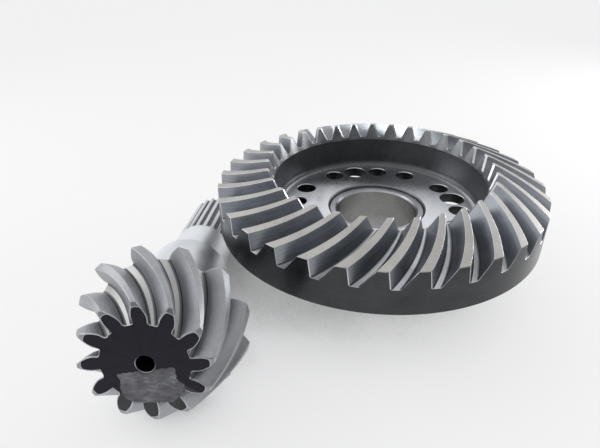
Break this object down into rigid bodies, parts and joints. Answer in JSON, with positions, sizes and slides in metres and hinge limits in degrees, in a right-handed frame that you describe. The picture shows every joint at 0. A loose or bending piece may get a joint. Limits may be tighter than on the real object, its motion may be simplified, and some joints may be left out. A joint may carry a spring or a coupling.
{
  "type": "spiral bevel gear pair",
  "caption": "Spiral bevel crown wheel and splined pinion shaft for a right-angle drive, with a plain bush in the crown wheel's bore.",
  "frame": {"origin": "axis of the crown wheel, in the plane of the rear end of its hub and bush, which stand on the bench", "axes": "+Z along the crown wheel's axis, from its hub to its teeth; +Y away from the viewer of the picture; +X to the right"},
  "size_m": [0.3587, 0.3343, 0.1148],
  "materials": {
    "crown_steel": "ground and phosphated",
    "bush_steel": "honed",
    "pinion_steel": "shot blasted",
    "tape": "matte paper"
  },
  "bodies": {
    "sleeve": {"bore_bush": "bush_steel"},
    "crown": {"crown_wheel": "crown_steel"},
    "pinion_shaft": {"pinion": "pinion_steel", "tape_label": "tape"}
  },
  "joints": [
    {"name": "crown_spin", "type": "hinge", "parent": "sleeve", "child": "crown", "pos_m": [0, 0, 0.06], "axis": [0, 0, 1], "continuous": true},
    {"name": "pinion_spin", "type": "hinge", "parent": "sleeve", "child": "pinion_shaft", "pos_m": [-0.15965, -0.09894, 0.0502], "axis": [0.0272, 0.9851, -0.1698], "continuous": true}
  ],
  "couplings": [
    {"joint": "pinion_spin", "follows": "crown_spin", "ratio": 2.6667}
  ]
}
